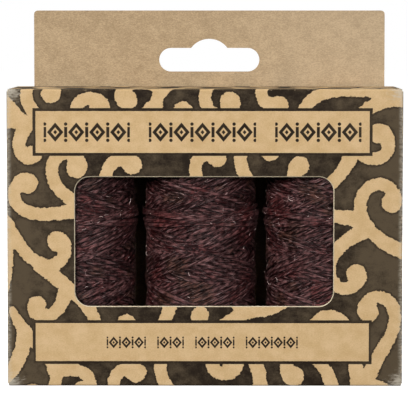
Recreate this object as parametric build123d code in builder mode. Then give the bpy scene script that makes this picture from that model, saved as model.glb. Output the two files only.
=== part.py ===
"""Windowed hang-tab carton of folded paperboard, holding three spools of waxed thread.

Frame: +Z up, origin at the middle of the carton's base, front face towards -Y. Millimetres.
The carton is one folded blank. Each panel and flap is a flat plate that stops just short of the
crease it shares with its neighbour, so that the flaps and lids can turn about those creases.
"""
from build123d import *
import os

os.makedirs("parts", exist_ok=True)

# Carton, outside sizes
WIDTH = 121.0
DEPTH = 40.0
HEIGHT = 91.0
BOARD = 0.5          # paperboard thickness
CREASE = 0.05        # gap between two plates that meet at a moving crease

FRONT = -DEPTH / 2   # outer face of the front panel
BACK = DEPTH / 2     # outer face of the back panel
SIDE = WIDTH / 2     # outer face of a side panel

# Window in the front panel
WINDOW_WIDTH = 79.0
WINDOW_HEIGHT = 39.6
WINDOW_X = -0.2      # middle of the window
WINDOW_Z = 44.4
WINDOW_RADIUS = 4.5

# Hang tab, which carries on up from the back panel
TAB_WIDTH = 112.0
TAB_HEIGHT = 24.2
TAB_X = 1.2          # middle of the tab and of its slot
TAB_RADIUS = 1.2
SLOT_WIDTH = 32.0    # euro slot: a long slot with round ends and a dome over its middle
SLOT_HEIGHT = 7.5
SLOT_Z = HEIGHT + 8.5
DOME_WIDTH = 11.6
DOME_HEIGHT = 2.9

# Lids and their flaps: every end of the carton closes the same way
LID_SIDE_GAP = 0.3   # lid's side edge to the carton's side face
TUCK_GAP = 1.1       # tuck flap's outer face to the back panel's inner face
TUCK_LENGTH = 10.0
TUCK_INSET = 2.5     # tuck flap's side edge to the carton's side face
TUCK_RADIUS = 5.0
DUST_LENGTH = 30.0
DUST_NOTCH = 1.4     # dust flap's front corner to the front face
DUST_TAPER = 0.53    # its front edge falls back this much for each unit of its length
DUST_BACK_GAP = 3.6  # its back edge to the back face
DUST_RADIUS = 4.0

# Glue flap, from the back panel, glued inside the left side panel
GLUE_WIDTH = 12.0
GLUE_END_GAP = 3.0
GLUE_TAPER = 4.0

# Spools: a paper tube with thread wound across itself, and a proud belt of wraps round it
SPOOL_PITCH = 37.6
SPOOL_X = -1.4       # middle spool
SPOOL_Y = -0.6
CORE_RADIUS = 14.7
CORE_BORE = 12.7
CORE_LENGTH = 86.8
CORE_CHAMFER = 0.3
THREAD_GAP = 0.1     # thread's inner wraps to the tube
THREAD_RADIUS = 17.6
THREAD_LENGTH = 76.0
THREAD_SHOULDER = 1.6
BELT_RADIUS = 18.4
BELT_HEIGHT = 5.6
BELT_Z = 51.9

# Levels inside one end of the carton, measured in from its outer face
DUST_LEVEL = BOARD + CREASE
SIDE_LEVEL = DUST_LEVEL + BOARD + CREASE
SPOOL_FOOT = SIDE_LEVEL + CREASE
LID_LENGTH = DEPTH - BOARD - TUCK_GAP

# An end's outer face, and the direction from it into the carton
ENDS = {"top": (HEIGHT, -1), "bottom": (0.0, 1)}
SIDES = {"left": -1, "right": 1}
SPOOLS = {"left": -1, "middle": 0, "right": 1}


def write(part, name):
    """Label one finished piece and write its STEP file."""
    part.label = name
    export_step(part, f"parts/{name}.step")


# Front panel, with its window
with BuildPart() as front_panel:
    with BuildSketch(Plane.XZ.offset(-FRONT)):
        with Locations((0, HEIGHT / 2)):
            Rectangle(WIDTH, HEIGHT - 2 * DUST_LEVEL)
        with Locations((WINDOW_X, WINDOW_Z)):
            RectangleRounded(WINDOW_WIDTH, WINDOW_HEIGHT, WINDOW_RADIUS, mode=Mode.SUBTRACT)
    extrude(amount=-BOARD)
write(front_panel.part, "front_panel")

# Back panel and hang tab in one plate, with the euro slot through the tab
with BuildPart() as back_panel:
    with BuildSketch(Plane.XZ.offset(-BACK)) as back_outline:
        with Locations((TAB_X, (HEIGHT + TAB_HEIGHT) / 2)):
            Rectangle(TAB_WIDTH, HEIGHT + TAB_HEIGHT)
        fillet(back_outline.vertices().group_by(Axis.Y)[-1], TAB_RADIUS)
        with Locations((0, HEIGHT / 2)):
            Rectangle(WIDTH, HEIGHT)
        with Locations((TAB_X, SLOT_Z)):
            SlotOverall(SLOT_WIDTH, SLOT_HEIGHT, mode=Mode.SUBTRACT)
        dome_foot = SLOT_Z + SLOT_HEIGHT / 2
        with BuildLine():
            dome = ThreePointArc(
                (TAB_X - DOME_WIDTH / 2, dome_foot),
                (TAB_X, dome_foot + DOME_HEIGHT),
                (TAB_X + DOME_WIDTH / 2, dome_foot),
            )
            Line(dome @ 1, dome @ 0)
        make_face(mode=Mode.SUBTRACT)
    extrude(amount=BOARD)
write(back_panel.part, "back_panel")

# Side panels, between the front and back panels
for side, sign in SIDES.items():
    with BuildPart() as side_panel:
        with BuildSketch(Plane.YZ.offset(sign * SIDE)):
            with Locations((0, HEIGHT / 2)):
                Rectangle(DEPTH - 2 * BOARD, HEIGHT - 2 * SIDE_LEVEL)
        extrude(amount=-sign * BOARD)
    write(side_panel.part, f"{side}_side_panel")

# Glue flap: a tapered strip folded forward from the back panel's left edge
with BuildPart() as glue_flap:
    glue_back = BACK - BOARD
    glue_front = glue_back - GLUE_WIDTH
    glue_low = GLUE_END_GAP
    glue_high = HEIGHT - GLUE_END_GAP
    with BuildSketch(Plane.YZ.offset(-SIDE + BOARD)):
        with BuildLine():
            Polyline(
                (glue_back, glue_low),
                (glue_back, glue_high),
                (glue_front, glue_high - GLUE_TAPER),
                (glue_front, glue_low + GLUE_TAPER),
                close=True,
            )
        make_face()
    extrude(amount=BOARD)
write(glue_flap.part, "glue_flap")

# Both ends of the carton: lid, tuck flap and two dust flaps
for end, (face, inward) in ENDS.items():
    # Lid, hinged on the front panel's edge
    with BuildPart() as lid:
        with BuildSketch(Plane.XY.offset(face)):
            with Locations((0, FRONT + LID_LENGTH / 2)):
                Rectangle(WIDTH - 2 * LID_SIDE_GAP, LID_LENGTH)
        extrude(amount=inward * BOARD)
    write(lid.part, f"{end}_lid")

    # Tuck flap, which hangs from the lid's free edge inside the back panel
    tuck_root = face + inward * DUST_LEVEL
    tuck_tip = tuck_root + inward * TUCK_LENGTH
    with BuildPart() as tuck_flap:
        with BuildSketch(Plane.XZ.offset(-FRONT - LID_LENGTH)) as tuck_outline:
            with Locations((0, (tuck_root + tuck_tip) / 2)):
                Rectangle(WIDTH - 2 * TUCK_INSET, TUCK_LENGTH)
            tip_corners = tuck_outline.vertices().group_by(Axis.Y)[0 if inward < 0 else -1]
            fillet(tip_corners, TUCK_RADIUS)
        extrude(amount=BOARD)
    write(tuck_flap.part, f"{end}_tuck_flap")

    # Dust flaps, hinged on the side panels' edges and lying under the lid
    for side, sign in SIDES.items():
        dust_hinge = sign * SIDE
        dust_tip = sign * (SIDE - DUST_LENGTH)
        dust_front = FRONT + DUST_NOTCH
        dust_back = BACK - DUST_BACK_GAP
        with BuildPart() as dust_flap:
            with BuildSketch(Plane.XY.offset(face + inward * DUST_LEVEL)) as dust_outline:
                with BuildLine():
                    Polyline(
                        (dust_hinge, dust_front),
                        (dust_tip, dust_front + DUST_TAPER * DUST_LENGTH),
                        (dust_tip, dust_back),
                        (dust_hinge, dust_back),
                        close=True,
                    )
                make_face()
                free_corners = dust_outline.vertices().group_by(Axis.X)[0 if sign > 0 else -1]
                fillet(free_corners, DUST_RADIUS)
            extrude(amount=inward * BOARD)
        write(dust_flap.part, f"{end}_{side}_dust_flap")

# Spools, standing in a row across the carton
for spool, step in SPOOLS.items():
    spool_x = SPOOL_X + step * SPOOL_PITCH
    with BuildPart() as core:
        with BuildSketch(Plane.XY.offset(SPOOL_FOOT)):
            with Locations((spool_x, SPOOL_Y)):
                Circle(CORE_RADIUS)
                Circle(CORE_BORE, mode=Mode.SUBTRACT)
        extrude(amount=CORE_LENGTH)
        chamfer(core.edges().filter_by(GeomType.CIRCLE), CORE_CHAMFER)
    write(core.part, f"{spool}_spool_core")

    # Thread: half its outline beside the tube, turned about the tube's axis
    inner = CORE_RADIUS + THREAD_GAP
    low = SPOOL_FOOT + (CORE_LENGTH - THREAD_LENGTH) / 2
    high = low + THREAD_LENGTH
    belt_low = BELT_Z - BELT_HEIGHT / 2
    belt_high = BELT_Z + BELT_HEIGHT / 2
    spool_plane = Plane((spool_x, SPOOL_Y, 0), x_dir=(1, 0, 0), z_dir=(0, -1, 0))
    with BuildPart() as thread:
        with BuildSketch(spool_plane):
            with BuildLine():
                Line((inner, low), (THREAD_RADIUS - THREAD_SHOULDER, low))
                Line((THREAD_RADIUS - THREAD_SHOULDER, low), (THREAD_RADIUS, low + THREAD_SHOULDER))
                Line((THREAD_RADIUS, low + THREAD_SHOULDER), (THREAD_RADIUS, belt_low))
                ThreePointArc((THREAD_RADIUS, belt_low), (BELT_RADIUS, BELT_Z), (THREAD_RADIUS, belt_high))
                Line((THREAD_RADIUS, belt_high), (THREAD_RADIUS, high - THREAD_SHOULDER))
                Line((THREAD_RADIUS, high - THREAD_SHOULDER), (THREAD_RADIUS - THREAD_SHOULDER, high))
                Line((THREAD_RADIUS - THREAD_SHOULDER, high), (inner, high))
                Line((inner, high), (inner, low))
            make_face()
        revolve(axis=Axis((spool_x, SPOOL_Y, 0), (0, 0, 1)))
    write(thread.part, f"{spool}_spool_thread")
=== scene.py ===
"""Looks of the windowed hang-tab carton and its three spools of waxed thread.

Everything is worked out in millimetres in the carton's own frame, and turned into metres where a
mesh is made. The carton is one folded blank. Each panel or flap is a "board": a flat outline on
the blank, with u across it and v up it, folded into place by the plane it lies in.
"""
import math
from functools import partialmethod

import bpy
import numpy as np
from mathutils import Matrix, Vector
from mathutils.geometry import delaunay_2d_cdt


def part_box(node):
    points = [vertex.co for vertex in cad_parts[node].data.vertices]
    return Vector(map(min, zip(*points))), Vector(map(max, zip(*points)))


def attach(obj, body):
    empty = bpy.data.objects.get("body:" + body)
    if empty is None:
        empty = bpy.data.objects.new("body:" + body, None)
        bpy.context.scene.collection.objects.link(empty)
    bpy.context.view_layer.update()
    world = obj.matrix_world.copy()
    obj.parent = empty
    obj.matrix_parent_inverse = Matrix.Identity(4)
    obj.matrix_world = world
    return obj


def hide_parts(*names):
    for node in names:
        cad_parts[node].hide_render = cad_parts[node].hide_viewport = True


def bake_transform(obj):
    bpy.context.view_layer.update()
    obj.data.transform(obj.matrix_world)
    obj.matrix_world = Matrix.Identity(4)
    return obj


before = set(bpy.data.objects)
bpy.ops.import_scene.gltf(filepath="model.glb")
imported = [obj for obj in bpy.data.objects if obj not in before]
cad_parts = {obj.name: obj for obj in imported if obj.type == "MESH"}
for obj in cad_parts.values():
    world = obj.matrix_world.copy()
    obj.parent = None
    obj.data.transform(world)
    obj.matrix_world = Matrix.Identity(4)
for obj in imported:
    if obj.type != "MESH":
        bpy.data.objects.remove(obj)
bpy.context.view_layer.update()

MM = 0.001


def new_object(name, data):
    """An object in the scene that holds a mesh, a lamp or a camera."""
    item = bpy.data.objects.new(name, data)
    bpy.context.scene.collection.objects.link(item)
    return item


def unit(vectors):
    """Vectors scaled to a length of one."""
    return vectors / np.linalg.norm(vectors, axis=-1)[..., None]


def smooth(part):
    """A part from 0 to 1 that starts and stops gently."""
    return part * part * (3 - 2 * part)


def look_at(item, place, aim):
    """Puts a camera or a lamp at a place, turned towards its aim."""
    item.location = place
    item.rotation_euler = (Vector(aim) - Vector(place)).to_track_quat("-Z", "Y").to_euler()


def box_mm(node):
    """Lowest and highest corner of a CAD node, in millimetres."""
    low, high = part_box(node)
    return np.array(low) / MM, np.array(high) / MM


# ---------------------------------------------------------------- sizes, from the frame
front_low, front_high = box_mm("front_panel")
_, back_high = box_mm("back_panel")
_, lid_high = box_mm("top_lid")
tuck_low, tuck_high = box_mm("top_tuck_flap")
dust_low, dust_high = box_mm("top_right_dust_flap")
glue_low, glue_high = box_mm("glue_flap")

SIDE = front_high[0]                    # outer face of the right side panel
FRONT = front_low[1]                    # outer face of the front panel
BACK = back_high[1]                     # outer face of the back panel
HEIGHT = lid_high[2]
BOARD = front_high[1] - front_low[1]
DEPTH = BACK - FRONT
TAB_TOP = back_high[2]
LID_SIDE = lid_high[0]
LID_LENGTH = lid_high[1] - FRONT
TUCK_SIDE = tuck_high[0]
TUCK_TIP = HEIGHT - tuck_low[2]
DUST_LEVEL = HEIGHT - dust_high[2]
DUST_TIP = SIDE - dust_low[0]
DUST_FRONT = dust_low[1] - FRONT
DUST_BACK = dust_high[1] - FRONT

# Sizes that a box doesn't give
WINDOW = (-0.2, 44.4, 79.0, 39.6, 4.5)  # middle x and z, width, height, corner radius
TAB = (1.2, 112.0, 1.2)                 # middle x, width, corner radius
SLOT = (1.2, 99.5, 32.0, 7.5)           # middle x and z, width, height
DOME = (11.6, 2.9)                      # width, height
TUCK_RADIUS = 5.0
DUST_RADIUS = 4.0
DUST_TAPER = 0.53
GLUE_TAPER = 4.0
CREASE_RADIUS = 0.62                    # outside of a folded crease
CREASE_HALF = 0.95                      # half of the strip of board that bends at a hinged crease
CUT_BEVEL = 0.09                        # crushed lip of a die-cut edge
WINDOW_BEVEL = 0.26
LEAST_LIP = 0.02                        # depth of the lip of a side that isn't cut
FINE = 0.58                             # spacing of the points that carry the print
COARSE = 2.6                            # and of those on the inner face
SHARP = math.radians(32)                # faces that meet at more than this show a sharp edge
BEND_ROWS = (0.0, 0.2, 0.4, 0.6, 0.8, 1.0)  # rows of points over half a bend, in parts of its radius
END_PLAY = 0.15                         # a side panel's end, beside a dust flap's crease, to the flap

# ---------------------------------------------------------------- camera
TARGET = Vector((-0.00037, 0.0, 0.05553))
DISTANCE = 0.800
AZIMUTH = math.radians(0.36)
ELEVATION = math.radians(3.85)

camera_data = bpy.data.cameras.new("camera")
camera_data.sensor_width = 36.0
camera_data.lens = 225.3
camera_data.clip_end = 20.0
camera = new_object("camera", camera_data)
toward = Vector((
    math.sin(AZIMUTH) * math.cos(ELEVATION),
    -math.cos(AZIMUTH) * math.cos(ELEVATION),
    math.sin(ELEVATION),
))
look_at(camera, TARGET + toward * DISTANCE, TARGET)
bpy.context.scene.camera = camera


# ---------------------------------------------------------------- scroll print
# Vines of bare kraft grow one at a time over the whole blank, and ink fills the rest. Each one
# leaves an older vine, or stands alone, and curls up into a round bulb. A vine is kept only where
# it clears all the others.
PRINT_SEED = 326
PRINT_CELL = 0.5                        # of the grid that keeps the distance to the nearest vine
PRINT_LOW = np.round([-SIDE - DEPTH - 1.5, -LID_LENGTH - TUCK_TIP - 3])
PRINT_HIGH = np.round([3 * SIDE + DEPTH + 0.5, HEIGHT + LID_LENGTH + TUCK_TIP + 3])
PRINT_REACH = 18.0                      # a vine's edge counts no further away than this
VINE_STEP = 0.5                         # between the points of a vine's centre line
VINE_GAP = 2.1                          # least ink between two vines
VINE_HALF = 1.85                        # half width of a vine
VINE_MISSES = 12                        # draws without room, in a row, that end a kind of vine
VINE_ALONE = 0.12                       # chance that a vine leaves no other


def vine_lines(start, heading, turn, length, tight, opening, bulb, alone):
    """Centre lines and half widths of many vines at once."""
    along = np.arange(int(length.max() / VINE_STEP) + 1)[None, :] * VINE_STEP
    live = along <= length[:, None]
    part = np.clip(along / length[:, None], 0, 1)
    curve = turn[:, None] * (opening[:, None] + (tight - opening)[:, None] * part**2)
    angle = heading[:, None] + np.cumsum(curve, 1) * VINE_STEP
    u = start[:, :1] + np.cumsum(np.cos(angle) * VINE_STEP * live, 1)
    v = start[:, 1:] + np.cumsum(np.sin(angle) * VINE_STEP * live, 1)
    half = VINE_HALF - 0.10 * np.sin(np.pi * part)
    if alone:
        half = half * (0.35 + 0.65 * np.clip(along / 7.0, 0, 1) ** 0.6)
    else:
        half = half + 0.5 * (1 - part) ** 3
    swelling = np.clip(1 - (length[:, None] - along) / 4.6, 0, 1)
    half = half + (bulb[:, None] - half) * smooth(swelling)
    return u, v, half, angle, live


def grow_scrolls():
    """Distance from every cell of the blank to the nearest vine's edge, less than 0 inside one."""
    rng = np.random.default_rng(PRINT_SEED)
    size = ((PRINT_HIGH - PRINT_LOW) / PRINT_CELL).astype(int) + 1
    field = np.full(size, 99.0, np.float32)
    grid_u = PRINT_LOW[0] + PRINT_CELL * np.arange(size[0])
    grid_v = PRINT_LOW[1] + PRINT_CELL * np.arange(size[1])
    joints = np.zeros((0, 3))

    def cell(value, axis):
        near = ((value - PRINT_LOW[axis]) / PRINT_CELL).round().astype(int)
        return np.clip(near, 0, size[axis] - 1)

    def add_vine(tries, alone, lengths, curls, bulbs):
        """Draws many vines and keeps one that fits: long, and close to the older ones."""
        nonlocal joints
        turn = rng.choice((-1.0, 1.0), tries)
        length = rng.uniform(*lengths, tries)
        tight = rng.uniform(*curls, tries)
        opening = rng.uniform(-0.05, 0.06, tries)
        bulb = rng.uniform(*bulbs, tries)
        if alone:
            start = rng.uniform(PRINT_LOW - 5, PRINT_HIGH + 5, (tries, 2))
            heading = rng.uniform(0, 2 * np.pi, tries)
        else:
            joint = joints[rng.integers(0, len(joints), tries)]
            side = rng.choice((-1.0, 1.0), tries)
            start = joint[:, :2]
            heading = joint[:, 2] + side * rng.uniform(0.35, 1.25, tries)
            turn = np.where(rng.random(tries) < 0.7, side, -side)
        u, v, half, angle, live = vine_lines(
            start, heading, turn, length, tight, opening, bulb, alone
        )
        room = field[cell(u, 0), cell(v, 1)] - half
        clear = (room >= VINE_GAP) | ~live
        fits = clear.all(1)
        if not alone:
            # It may lie over the older vine where it leaves it, but may not turn back to it
            steps = np.arange(u.shape[1])[None, :]
            leaves = np.argmax(clear, 1)
            away = steps >= leaves[:, None]
            widening = np.diff(np.where(away, 99, room), axis=1) > -0.12
            fits = (clear | ~away).all(1) & clear.any(1)
            fits &= leaves * VINE_STEP <= np.minimum(12.0, 0.45 * length)
            fits &= (widening | (steps[:, 1:] < 4)).all(1)
        inside = (u > PRINT_LOW[0]) & (u < PRINT_HIGH[0]) & (v > PRINT_LOW[1]) & (v < PRINT_HIGH[1])
        fits &= inside.mean(1) > 0.5
        if not fits.any():
            return False
        snug = np.where(live, np.minimum(room, 14), 0).sum(1) / live.sum(1) - 0.12 * length
        best = np.argmin(np.where(fits, snug, 999))
        count = live[best].sum()
        line_u, line_v, line_half = u[best, :count], v[best, :count], half[best, :count]
        u0, u1 = cell(np.array([line_u.min() - PRINT_REACH, line_u.max() + PRINT_REACH]), 0)
        v0, v1 = cell(np.array([line_v.min() - PRINT_REACH, line_v.max() + PRINT_REACH]), 1)
        du = grid_u[u0:u1 + 1, None, None] - line_u
        dv = grid_v[None, v0:v1 + 1, None] - line_v
        edge = (np.sqrt(du**2 + dv**2) - line_half).min(-1)
        field[u0:u1 + 1, v0:v1 + 1] = np.minimum(field[u0:u1 + 1, v0:v1 + 1], edge)
        stem = np.arange(int(count * 0.10), int(count * 0.66))  # newer vines may leave from here
        joints = np.concatenate([joints, np.stack([line_u, line_v, angle[best, :count]], 1)[stem]])
        return True

    # A few long vines, then shorter and tighter ones, each kind until no more find room
    for _ in range(10):
        add_vine(300, True, (46, 62), (0.24, 0.31), (2.8, 3.1))
    for lengths, curls, bulbs in (
        ((30, 44), (0.30, 0.38), (2.8, 3.1)),
        ((24, 34), (0.33, 0.43), (2.7, 3.0)),
        ((15, 26), (0.40, 0.54), (2.5, 2.95)),
        ((9, 17), (0.42, 0.66), (2.4, 2.8)),
        ((5, 12), (0.30, 0.80), (2.1, 2.6)),
    ):
        misses = 0
        while misses < VINE_MISSES:
            alone = rng.random() < VINE_ALONE
            misses = 0 if add_vine(900, alone, lengths, curls, bulbs) else misses + 1
    return field


scroll_field = grow_scrolls()


def scroll_distance(u, v):
    """The print's distance field between its cells, for many points."""
    x = np.clip((u - PRINT_LOW[0]) / PRINT_CELL, 0, scroll_field.shape[0] - 1.001)
    y = np.clip((v - PRINT_LOW[1]) / PRINT_CELL, 0, scroll_field.shape[1] - 1.001)
    i, j = x.astype(int), y.astype(int)
    fx, fy = x - i, y - j
    low = scroll_field[i, j] * (1 - fx) + scroll_field[i + 1, j] * fx
    high = scroll_field[i, j + 1] * (1 - fx) + scroll_field[i + 1, j + 1] * fx
    return low * (1 - fy) + high * fy


# ---------------------------------------------------------------- materials
def srgb(red, green, blue):
    """A colour given as 0 to 255 screen values."""
    channels = []
    for value in (red, green, blue):
        c = value / 255
        channels.append(c / 12.92 if c <= 0.04045 else ((c + 0.055) / 1.055) ** 2.4)
    return (*channels, 1.0)


def put(tree, socket, value):
    """Links another node's value to a socket, or sets the socket to a constant."""
    if isinstance(value, Value):
        tree.links.new(value.socket, socket)
    else:
        socket.default_value = value


class Value:
    """An output in a material's node tree. Arithmetic on it adds Math nodes to the tree."""

    def __init__(self, tree, socket):
        self.tree = tree
        self.socket = socket

    def math(self, operation, *others, last=False):
        """A Math node's result, with this value as its first input, or as its last."""
        node = self.tree.nodes.new("ShaderNodeMath")
        node.operation = operation
        for socket, value in zip(node.inputs, (*others, self) if last else (self, *others)):
            put(self.tree, socket, value)
        return Value(self.tree, node.outputs[0])

    __abs__ = partialmethod(math, "ABSOLUTE")
    __add__ = partialmethod(math, "ADD")
    __radd__ = partialmethod(math, "ADD", last=True)
    __sub__ = partialmethod(math, "SUBTRACT")
    __rsub__ = partialmethod(math, "SUBTRACT", last=True)
    __mul__ = partialmethod(math, "MULTIPLY")
    __truediv__ = partialmethod(math, "DIVIDE")
    __mod__ = partialmethod(math, "FLOORED_MODULO")
    __pow__ = partialmethod(math, "POWER")
    __gt__ = partialmethod(math, "GREATER_THAN")
    __lt__ = partialmethod(math, "LESS_THAN")
    larger = partialmethod(math, "MAXIMUM")
    smaller = partialmethod(math, "MINIMUM")


class Nodes:
    """Short calls for building one material's node tree."""

    def __init__(self, name):
        self.material = bpy.data.materials.new(name)
        self.material.use_nodes = True
        self.tree = self.material.node_tree

    def node(self, kind, inputs, output=0, **settings):
        """One output of a new node, made with these settings and inputs."""
        node = self.tree.nodes.new(f"ShaderNode{kind}")
        for name, value in settings.items():
            setattr(node, name, value)
        for name, value in inputs.items():
            put(self.tree, node.inputs[name], value)
        return Value(self.tree, node.outputs[output])

    def ramp(self, value, low, high, out_low=0.0, out_high=1.0):
        """A smooth step from one output to the other as the value goes from low to high."""
        ends = {"From Min": low, "From Max": high, "To Min": out_low, "To Max": out_high}
        return self.node("MapRange", {"Value": value, **ends}, interpolation_type="SMOOTHSTEP")

    def mix(self, factor, a, b):
        return self.node("Mix", {"Factor": factor, "A": a, "B": b}, "Result", data_type="RGBA")

    def attribute(self, name, output="Vector"):
        return self.node("Attribute", {}, output, attribute_name=name)

    def split(self, vector):
        """The three parts of a vector."""
        return [self.node("SeparateXYZ", {0: vector}, axis) for axis in "XYZ"]

    def join(self, x, y):
        return self.node("CombineXYZ", {"X": x, "Y": y})

    def noise(self, vector, stretch, detail, rough):
        """Noise about 0.5, with its grain given per unit of each axis."""
        place = self.node("VectorMath", {0: vector, 1: stretch}, operation="MULTIPLY")
        settings = {"Scale": 1.0, "Detail": detail, "Roughness": rough}
        return self.node("TexNoise", {"Vector": place, **settings})

    def bump(self, height, distance, strength):
        return self.node("Bump", {"Height": height, "Distance": distance, "Strength": strength})

    def finish(self, **sockets):
        """The material, with these values in its shader's sockets."""
        shader = self.tree.nodes["Principled BSDF"]
        for name, value in sockets.items():
            put(self.tree, shader.inputs[name.replace("_", " ")], value)
        return self.material


LABELS = ((-0.7, 77.95, 101.9, 12.75), (-0.8, 13.5, 102.1, 11.7))  # middle u and v, width, height
LABEL_BORDER = 0.92
# Middle u and v, pitch, half height, and groups of cells, counted from the middle
ORNAMENTS = (
    (-0.7, 77.9, 6.42, 2.95, ((-7.55, -3.45), (-2.55, 2.55), (3.45, 7.55))),
    (-0.8, 13.4, 3.88, 1.8, ((-7.55, -4.45), (-3.55, -1.45), (-0.55, 2.55), (3.45, 7.55))),
)


def kraft_colour(n, blank, light, dark, mottled):
    """Kraft board: soft mottling, fine fibres across it and a few dark flecks."""
    cloud = n.noise(blank, (0.22, 0.26, 1.0), 3.0, 0.6)
    fibre = n.noise(blank, (2.0, 3.8, 1.0), 4.0, 0.75)
    speck = n.noise(blank, (2.6, 3.4, 1.0), 2.0, 0.5)
    tone = cloud * mottled + fibre * (1 - mottled)
    colour = n.mix(n.ramp(tone, 0.37, 0.63), dark, light)
    fleck = n.ramp(speck, 0.66, 0.74, 0.0, 0.35)
    return n.mix(fleck, colour, srgb(120, 92, 62)), fibre


def printed_board():
    """The outer face: kraft vines left bare in a dark print, two labels, and wear."""
    n = Nodes("printed_board")
    blank = n.attribute("blank")
    u, v, _ = n.split(blank)

    # Vines, with the ragged edge of a cut block
    ragged = n.noise(blank, (0.55, 0.55, 1.0), 1.0, 0.5)
    nick = n.noise(blank, (1.5, 1.5, 1.0), 3.0, 0.65)
    edge = n.attribute("scroll", "Fac") - 0.12 + (ragged - 0.5) * 0.9 + (nick - 0.5)
    ink = n.ramp(edge, -0.06, 0.06)

    # Label panels: a plain field inside a line
    outside = None
    for middle_u, middle_v, width, height in LABELS:
        away = (abs(u - middle_u) - width / 2).larger(abs(v - middle_v) - height / 2)
        outside = away if outside is None else outside.smaller(away)
    rough_line = (nick - 0.5) * 0.18 + outside
    ink = ink.larger(n.ramp(rough_line, LABEL_BORDER + 0.04, LABEL_BORDER - 0.04))
    ink = ink * n.ramp(rough_line, -0.04, 0.04)

    # Ornament on the labels: groups of outlined lozenges with a bar and two dots between them
    marks = None
    for middle_u, middle_v, pitch, tall, groups in ORNAMENTS:
        across = u - middle_u
        cell_u = (across + pitch / 2) % pitch
        near_u = abs(cell_u - pitch / 2)
        near_v = abs(v - middle_v)
        lozenge = near_u / (pitch * 0.39) + near_v / tall
        ring = n.ramp(lozenge, 1.03, 0.97) * n.ramp(lozenge, 0.47, 0.53)
        core = n.ramp(lozenge, 0.27, 0.21)
        from_bar = pitch / 2 - near_u
        bar = n.ramp(from_bar, pitch * 0.082, pitch * 0.066)
        bar = bar * n.ramp(near_v, tall * 0.56, tall * 0.53)
        dot = (near_v - tall * 0.84) ** 2.0 + from_bar**2.0
        dot = n.ramp(dot / (pitch * pitch), 0.008, 0.0055)
        mark = ring.larger(core).larger(bar.larger(dot))
        span = 0.0
        for first, last in groups:
            from_middle = abs(across - pitch * (first + last) / 2)
            span = span + (from_middle < pitch * (last - first) / 2)
        mark = mark * (span * (near_v < tall * 1.15))
        marks = mark if marks is None else marks.larger(mark)
    ink = ink.larger(marks)

    # Ink: deep brown at its edges, patchy charcoal further in, lighter towards the folded sides
    weave = n.noise(blank, (2.2, 2.2, 1.0), 3.0, 0.6)
    cloud = n.noise(blank, (0.30, 0.34, 1.0), 3.0, 0.6)
    patch = n.noise(blank, (0.07, 0.08, 1.0), 2.0, 0.5)
    to_side = n.ramp(abs(u), 34.0, SIDE, 0.0, 0.19)
    tone = n.ramp(cloud * 0.45 + weave * 0.22 + patch * 0.33 + to_side, 0.4, 0.7)
    ink_colour = n.mix(tone, srgb(31, 21, 9), srgb(81, 69, 52))
    from_edge = n.ramp(edge.smaller(outside), 0.2, 0.9, 0.65, 0.0)
    ink_colour = n.mix(from_edge, ink_colour, srgb(34, 24, 14))
    pinhole = n.ramp(n.noise(blank, (3.4, 3.4, 1.0), 2.0, 0.7), 0.735, 0.80, 0.0, 0.5)
    board, fibre = kraft_colour(n, blank, srgb(211, 182, 140), srgb(193, 162, 116), 0.4)

    # Wear: the ink cracks along the folds, and rubs away at the corners
    fold_u = abs(abs(u) - SIDE)
    fold_v = abs(v).smaller(abs(v - HEIGHT))
    crack = n.noise(blank, (0.8, 0.8, 1.0), 4.0, 0.7)
    smear = n.noise(blank, (0.5, 1.3, 1.0), 4.0, 0.65)
    fold = fold_u.smaller(fold_v + 0.3)
    worn = n.ramp((crack - 0.47) * 3.2 - fold, -0.1, 0.35, 0.0, 0.75)
    corner = (fold_u * fold_u + fold_v * fold_v).math("SQRT")
    corner = n.ramp((smear - 0.5) * 12.0 + corner, 5.4, 0.8, 0.0, 0.9)
    rubbed = n.ramp(fold_u, 1.7, 0.1, 0.0, 0.75) * n.ramp(smear, 0.3, 0.62)
    rubbed = rubbed.larger(corner)
    ink = ink * (1.0 - worn.larger(pinhole))

    colour = n.mix(ink, board, ink_colour)
    colour = n.mix(rubbed * 0.75, colour, srgb(196, 188, 172))
    colour = n.mix(worn * 0.4, colour, srgb(222, 210, 186))
    return n.finish(
        Base_Color=colour, Roughness=n.ramp(ink, 0.0, 1.0, 0.82, 0.62), Specular_IOR_Level=0.12,
        Normal=n.bump(fibre * 0.6 + weave * 0.4, 0.00006, 0.5),
    )


def raw_board():
    """Bare kraft inner face. The back panel and its tab get paler from left to right: painted light.
    """
    n = Nodes("raw_board")
    blank = n.attribute("blank")
    colour, fibre = kraft_colour(n, blank, srgb(193, 169, 136), srgb(156, 134, 104), 0.22)
    u, _, _ = n.split(blank)
    # Painted light: a paler wash towards the right end of the back panel and tab, seen from the
    # front.
    painted_light_to_right = n.ramp(u, SIDE + DEPTH + 80.0, SIDE + DEPTH, 0.0, 0.20)
    colour = n.mix(painted_light_to_right, colour, srgb(208, 190, 164))
    strand = n.noise(blank, (1.3, 6.0, 1.0), 4.0, 0.75)
    colour = n.mix(n.ramp(strand, 0.58, 0.72, 0.0, 0.35), colour, srgb(196, 176, 148))
    colour = n.mix(n.ramp(strand, 0.42, 0.30, 0.0, 0.35), colour, srgb(138, 112, 82))
    return n.finish(
        Base_Color=colour, Roughness=0.88, Specular_IOR_Level=0.12,
        Normal=n.bump(fibre * 0.6 + strand * 0.5, 0.00008, 0.6),
    )


def cut_edge():
    """Pale, fibrous cut through the board."""
    n = Nodes("cut_edge")
    grain = n.noise(n.attribute("blank"), (1.6, 1.6, 6.0), 3.0, 0.6)
    colour = n.mix(n.ramp(grain, 0.3, 0.7), srgb(196, 180, 148), srgb(228, 216, 190))
    return n.finish(Base_Color=colour, Roughness=0.9, Normal=n.bump(grain, 0.00005, 0.5))


BOARD_MATERIALS = (printed_board(), raw_board(), cut_edge())
OUTER, INNER, RIM = range(3)            # places in that list


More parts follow.
